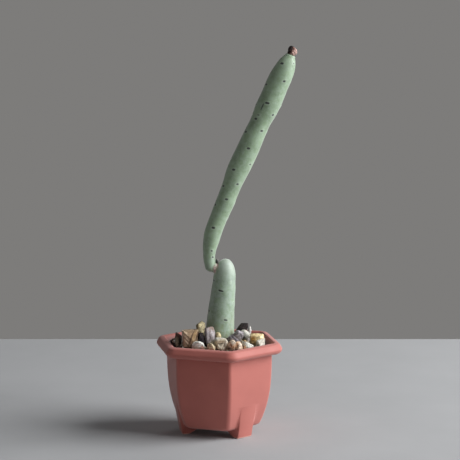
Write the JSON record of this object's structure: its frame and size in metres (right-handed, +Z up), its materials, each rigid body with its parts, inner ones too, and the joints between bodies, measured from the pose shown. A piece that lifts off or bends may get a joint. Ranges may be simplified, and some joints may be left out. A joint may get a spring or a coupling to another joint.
{
  "type": "potted euphorbia alluaudii",
  "caption": "Leafless euphorbia stem leaning from a healed stump, standing in gravel in a footed hexagonal terracotta-coloured pot.",
  "frame": {"origin": "on the surface that the feet stand on, under the middle of the whole object's box; the pot's upright axis is 2 mm from it towards -X", "axes": "+Z up; +X from the pot's axis to the rim corner on the side that the stem leans to, the lean itself being turned 18.3 degrees from +X towards +Y; +Y to the back of the plant"},
  "size_m": [0.0791, 0.067, 0.2211],
  "materials": {
    "pot": "moulded terracotta-coloured plastic with a soft satin sheen",
    "soil": "dark crumbly potting mix",
    "grit": "fine mixed grit, rough and dry",
    "stem": "glaucous blue-green skin with a fine waxy bloom",
    "dried_tip": "withered brown, dry and wrinkled",
    "stone_pale": "broken pale limestone, matt",
    "stone_peach": "broken peach-coloured stone, matt",
    "stone_tan": "layered tan and brown stone, matt",
    "stone_yellow": "yellow ochre stone with rusty hollows",
    "stone_grey": "grey and lilac speckled stone",
    "stone_dark": "near-black slaty stone"
  },
  "bodies": {
    "root": {"pot": "pot", "soil": "soil", "gravel_bed": "grit", "stem": "stem", "dried_tip": "dried_tip", "white_front": "stone_pale", "pink_chip": "stone_peach", "green_tan": "stone_tan", "cream_boulder": "stone_pale", "peach_left": "stone_peach", "peach_right": "stone_peach", "rust_chip": "stone_tan", "white_slope": "stone_pale", "dark_facet": "stone_dark", "bark_boulder": "stone_tan", "black_wedge": "stone_dark", "lilac_slab": "stone_grey", "yellow_chip": "stone_yellow", "grey_shard": "stone_grey", "lilac_shard": "stone_grey", "pale_grey": "stone_pale", "black_shard": "stone_dark", "white_flake": "stone_pale", "yellow_ochre": "stone_yellow", "cream_side": "stone_pale", "yellow_upright": "stone_yellow", "stone_01": "stone_dark", "stone_02": "stone_grey", "stone_03": "stone_tan", "stone_04": "stone_pale", "stone_05": "stone_tan", "stone_06": "stone_pale", "stone_07": "stone_grey", "stone_08": "stone_yellow", "stone_09": "stone_dark", "stone_10": "stone_grey", "stone_11": "stone_tan", "stone_12": "stone_pale", "stone_13": "stone_tan", "stone_14": "stone_pale", "stone_15": "stone_grey", "stone_16": "stone_yellow", "stone_17": "stone_dark", "stone_18": "stone_grey", "stone_19": "stone_tan", "stone_20": "stone_pale", "stone_21": "stone_tan", "stone_22": "stone_pale", "stone_23": "stone_grey", "stone_24": "stone_yellow"}
  },
  "joints": []
}
